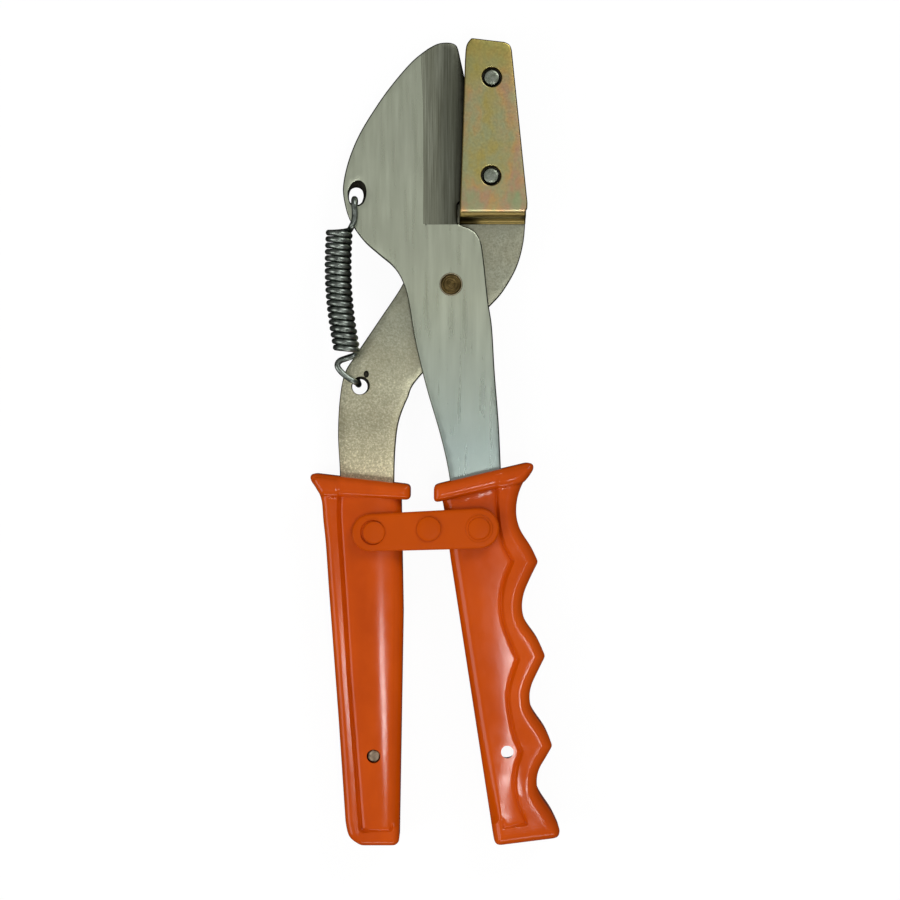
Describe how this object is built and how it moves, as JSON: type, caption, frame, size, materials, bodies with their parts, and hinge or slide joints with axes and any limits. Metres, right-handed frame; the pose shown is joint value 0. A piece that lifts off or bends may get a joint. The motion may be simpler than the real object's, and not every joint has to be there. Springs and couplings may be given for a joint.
{
  "type": "pvc pipe cutter",
  "caption": "Hand cutter for plastic pipe: a bevelled blade closes into a slotted anvil on a pivot, with a return spring, moulded grips and a swinging lock strap.",
  "frame": {"origin": "middle of the bounding box's base, on the surface that the tool lies on", "axes": "+Z out of the front face, +Y from the grips to the jaw tips, +X towards the finger grooves"},
  "size_m": [0.0698, 0.2258, 0.0182],
  "materials": {
    "blade_steel": "ground flat, with a finer brushed bevel",
    "zinc_plate": "zinc plated, lightly spangled",
    "yellow_zinc": "yellow passivated zinc with blotchy interference colours",
    "rivet_steel": "plain steel, hammered ends",
    "pivot_brass": "dull bronze with turned rings",
    "spring_steel": "oiled spring wire",
    "grip_orange": "glossy moulded plastic",
    "strap_orange": "satin moulded plastic"
  },
  "bodies": {
    "anvil_lever": {"anvil_arm": "zinc_plate", "anvil_cheek": "yellow_zinc", "anvil_strip": "zinc_plate", "cheek_rivet_upper": "rivet_steel", "cheek_rivet_lower": "rivet_steel", "pivot_rivet": "pivot_brass", "pivot_washer": "rivet_steel", "left_grip": "grip_orange", "left_grip_pin": "rivet_steel", "latch_catch_stud": "strap_orange", "return_spring": "spring_steel"},
    "blade_lever": {"blade": "blade_steel", "pivot_bush": "pivot_brass", "right_grip": "grip_orange", "latch_pivot_stud": "strap_orange"},
    "latch": {"latch_strap": "strap_orange", "latch_thumb_button": "strap_orange"}
  },
  "joints": [
    {"name": "jaw_open", "type": "hinge", "parent": "anvil_lever", "child": "blade_lever", "pos_m": [0.00441, 0.0442, 0.0093], "axis": [0, 0, 1], "range_deg": [0, 45], "stiffness_Nm_per_rad": 12.1, "springref_deg": 6.3, "deforming": ["return_spring"]},
    {"name": "latch_swing", "type": "hinge", "parent": "blade_lever", "child": "latch", "pos_m": [0.01221, -0.0241, 0.0164], "axis": [0, 0, 1], "range_deg": [0, 104]}
  ]
}
